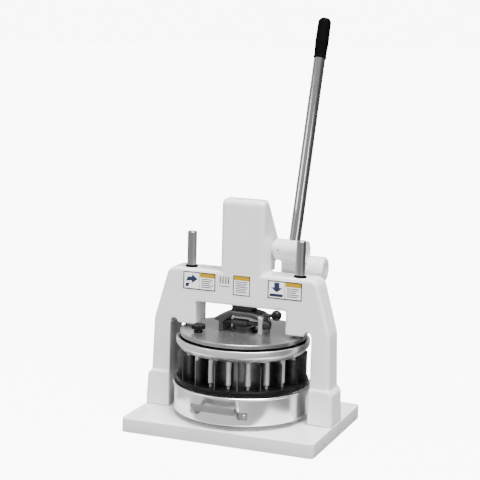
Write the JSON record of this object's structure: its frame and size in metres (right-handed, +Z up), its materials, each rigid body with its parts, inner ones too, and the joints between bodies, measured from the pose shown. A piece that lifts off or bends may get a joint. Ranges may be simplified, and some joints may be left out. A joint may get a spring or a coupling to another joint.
{
  "type": "manual dough divider",
  "caption": "Bench-top hand press that flattens dough in a round pan and cuts it into equal pieces: portal frame, rack-driven head, long side lever and counterweight.",
  "frame": {"origin": "centre of the base plate's underside, on the bench", "axes": "+Z up; +X to the operator's right, where the hand lever is; the operator stands at -Y"},
  "size_m": [0.576, 0.5146, 1.1785],
  "materials": {
    "white_paint": "satin",
    "bright_steel": "turned",
    "tool_steel": "machined",
    "screw_steel": "zinc plated",
    "bronze": "machined",
    "black_rubber": "satin",
    "label": "printed",
    "dark_iron": "satin",
    "satin_disc": "satin",
    "cast_aluminium": "polished",
    "post_aluminium": "satin",
    "blade_steel": "ground",
    "black_plastic": "satin",
    "pan_steel": "polished stainless",
    "white_board": "matte"
  },
  "bodies": {
    "frame": {"base_plate": "white_paint", "frame_bolts": "screw_steel", "portal_frame": "white_paint", "tower_bolts": "screw_steel", "tower_housing": "white_paint", "pinion_bush_left": "bronze", "pinion_bush_right": "bronze", "bearing_cover": "white_paint", "guide_bush_left": "bronze", "rod_wiper_left": "black_rubber", "guide_bush_right": "bronze", "rod_wiper_right": "black_rubber", "ram_guide": "bronze", "label_left": "label", "label_numbers": "label", "label_centre": "label", "label_right": "label", "pan_seat": "white_paint"},
    "lever": {"pinion_gear": "tool_steel", "pinion_axle": "bright_steel", "pinion_key": "tool_steel", "thrust_washer": "bronze", "lever_hub": "white_paint", "hub_set_screws": "screw_steel", "weight_bolt": "screw_steel", "counterweight": "white_paint", "lever_rod": "bright_steel", "lever_grip": "black_rubber"},
    "head": {"ram_rack": "tool_steel", "ram_foot": "dark_iron", "cam_yoke": "dark_iron", "ram_socket": "dark_iron", "knife_disc": "satin_disc", "seal_ring": "black_rubber", "guide_rod_left": "bright_steel", "guide_rod_right": "bright_steel", "rod_screws": "screw_steel", "knife_blades_inner": "blade_steel", "knife_blades_middle": "blade_steel", "knife_blades_outer": "blade_steel", "knife_ring_inner": "blade_steel", "knife_ring_middle": "blade_steel", "knife_hub": "blade_steel", "knife_ring_outer": "black_plastic", "knife_pillars": "tool_steel"},
    "press": {"press_ring": "cast_aluminium", "press_posts_inner": "post_aluminium", "press_posts_middle": "post_aluminium", "press_posts_outer": "post_aluminium", "press_plates_inner": "black_plastic", "press_plates_middle": "black_plastic", "press_plates_outer": "black_plastic"},
    "cam_lever": {"cam_shaft": "tool_steel", "cam_arm": "dark_iron", "cam_ball": "black_plastic"},
    "knob": {"lock_knob": "black_plastic"},
    "pan": {"pan_shell": "pan_steel", "pan_board": "white_board", "pan_handle": "pan_steel", "handle_rivets": "screw_steel"}
  },
  "joints": [
    {"name": "lever_swing", "type": "hinge", "parent": "frame", "child": "lever", "pos_m": [0.124, 0.04, 0.521], "axis": [1, 0, 0], "range_deg": [0, 105]},
    {"name": "head_slide", "type": "slide", "parent": "frame", "child": "head", "axis": [0, 0, 1], "range_m": [-0.059, 0]},
    {"name": "press_slide", "type": "slide", "parent": "head", "child": "press", "axis": [0, 0, 1], "range_m": [0, 0.0185]},
    {"name": "cam_swing", "type": "hinge", "parent": "head", "child": "cam_lever", "pos_m": [0.078, -0.04, 0.314], "axis": [1, 0, 0], "range_deg": [0, 70]},
    {"name": "knob_turn", "type": "hinge", "parent": "head", "child": "knob", "pos_m": [-0.107, -0.098, 0.279], "axis": [0, 0, 1], "range_deg": [0, 90]},
    {"name": "pan_slide", "type": "slide", "parent": "frame", "child": "pan", "axis": [0, -1, 0], "range_m": [0, 0.4]}
  ],
  "couplings": [
    {"joint": "head_slide", "follows": "lever_swing", "m_per_rad": -0.032},
    {"joint": "press_slide", "follows": "lever_swing", "m_per_rad": 0.009822}
  ]
}
